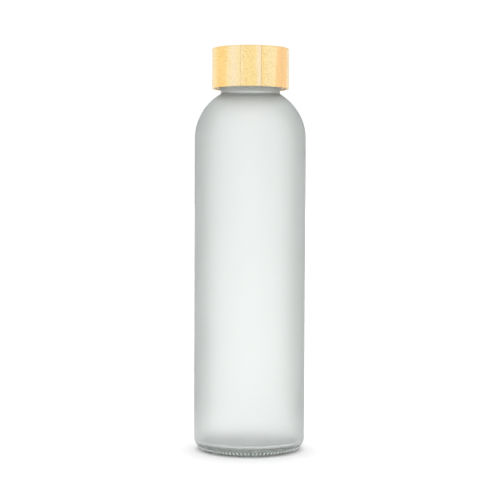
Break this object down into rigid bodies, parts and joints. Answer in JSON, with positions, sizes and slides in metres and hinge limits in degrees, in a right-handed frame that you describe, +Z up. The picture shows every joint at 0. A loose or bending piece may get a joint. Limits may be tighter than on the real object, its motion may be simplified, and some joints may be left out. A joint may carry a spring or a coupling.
{
  "type": "water bottle",
  "caption": "Slim frosted glass water bottle with a screw cap of laminated bamboo over a moulded thread insert and a soft rim gasket.",
  "frame": {"origin": "centre of the ring that the bottle stands on, on the bottle's axis", "axes": "+Z up along the bottle's axis, +Y towards the back, and the cap's glued strips meet in planes square to X when the cap is closed"},
  "size_m": [0.065, 0.065, 0.2348],
  "materials": {
    "frosted_glass": "acid-etched outside, clear and smooth inside and on the neck",
    "silicone": "satin, slightly translucent",
    "white_plastic": "fine satin moulding",
    "bamboo": "turned, sanded and oiled, end grain showing at the front and back"
  },
  "bodies": {
    "bottle": {"glass_bottle": "frosted_glass"},
    "seal": {"sealing_gasket": "silicone"},
    "cap": {"thread_insert": "white_plastic", "bamboo_strip_1": "bamboo", "bamboo_strip_2": "bamboo", "bamboo_strip_3": "bamboo", "bamboo_strip_4": "bamboo", "bamboo_strip_5": "bamboo"}
  },
  "joints": [
    {"name": "cap_rise", "type": "slide", "parent": "bottle", "child": "seal", "axis": [0, 0, 1], "range_m": [0, 0.02223]},
    {"name": "cap_turn", "type": "hinge", "parent": "seal", "child": "cap", "pos_m": [0, 0, 0.223], "axis": [0, 0, 1], "range_deg": [0, 1890]}
  ],
  "couplings": [
    {"joint": "cap_rise", "follows": "cap_turn", "m_per_rad": 0.00067376}
  ]
}
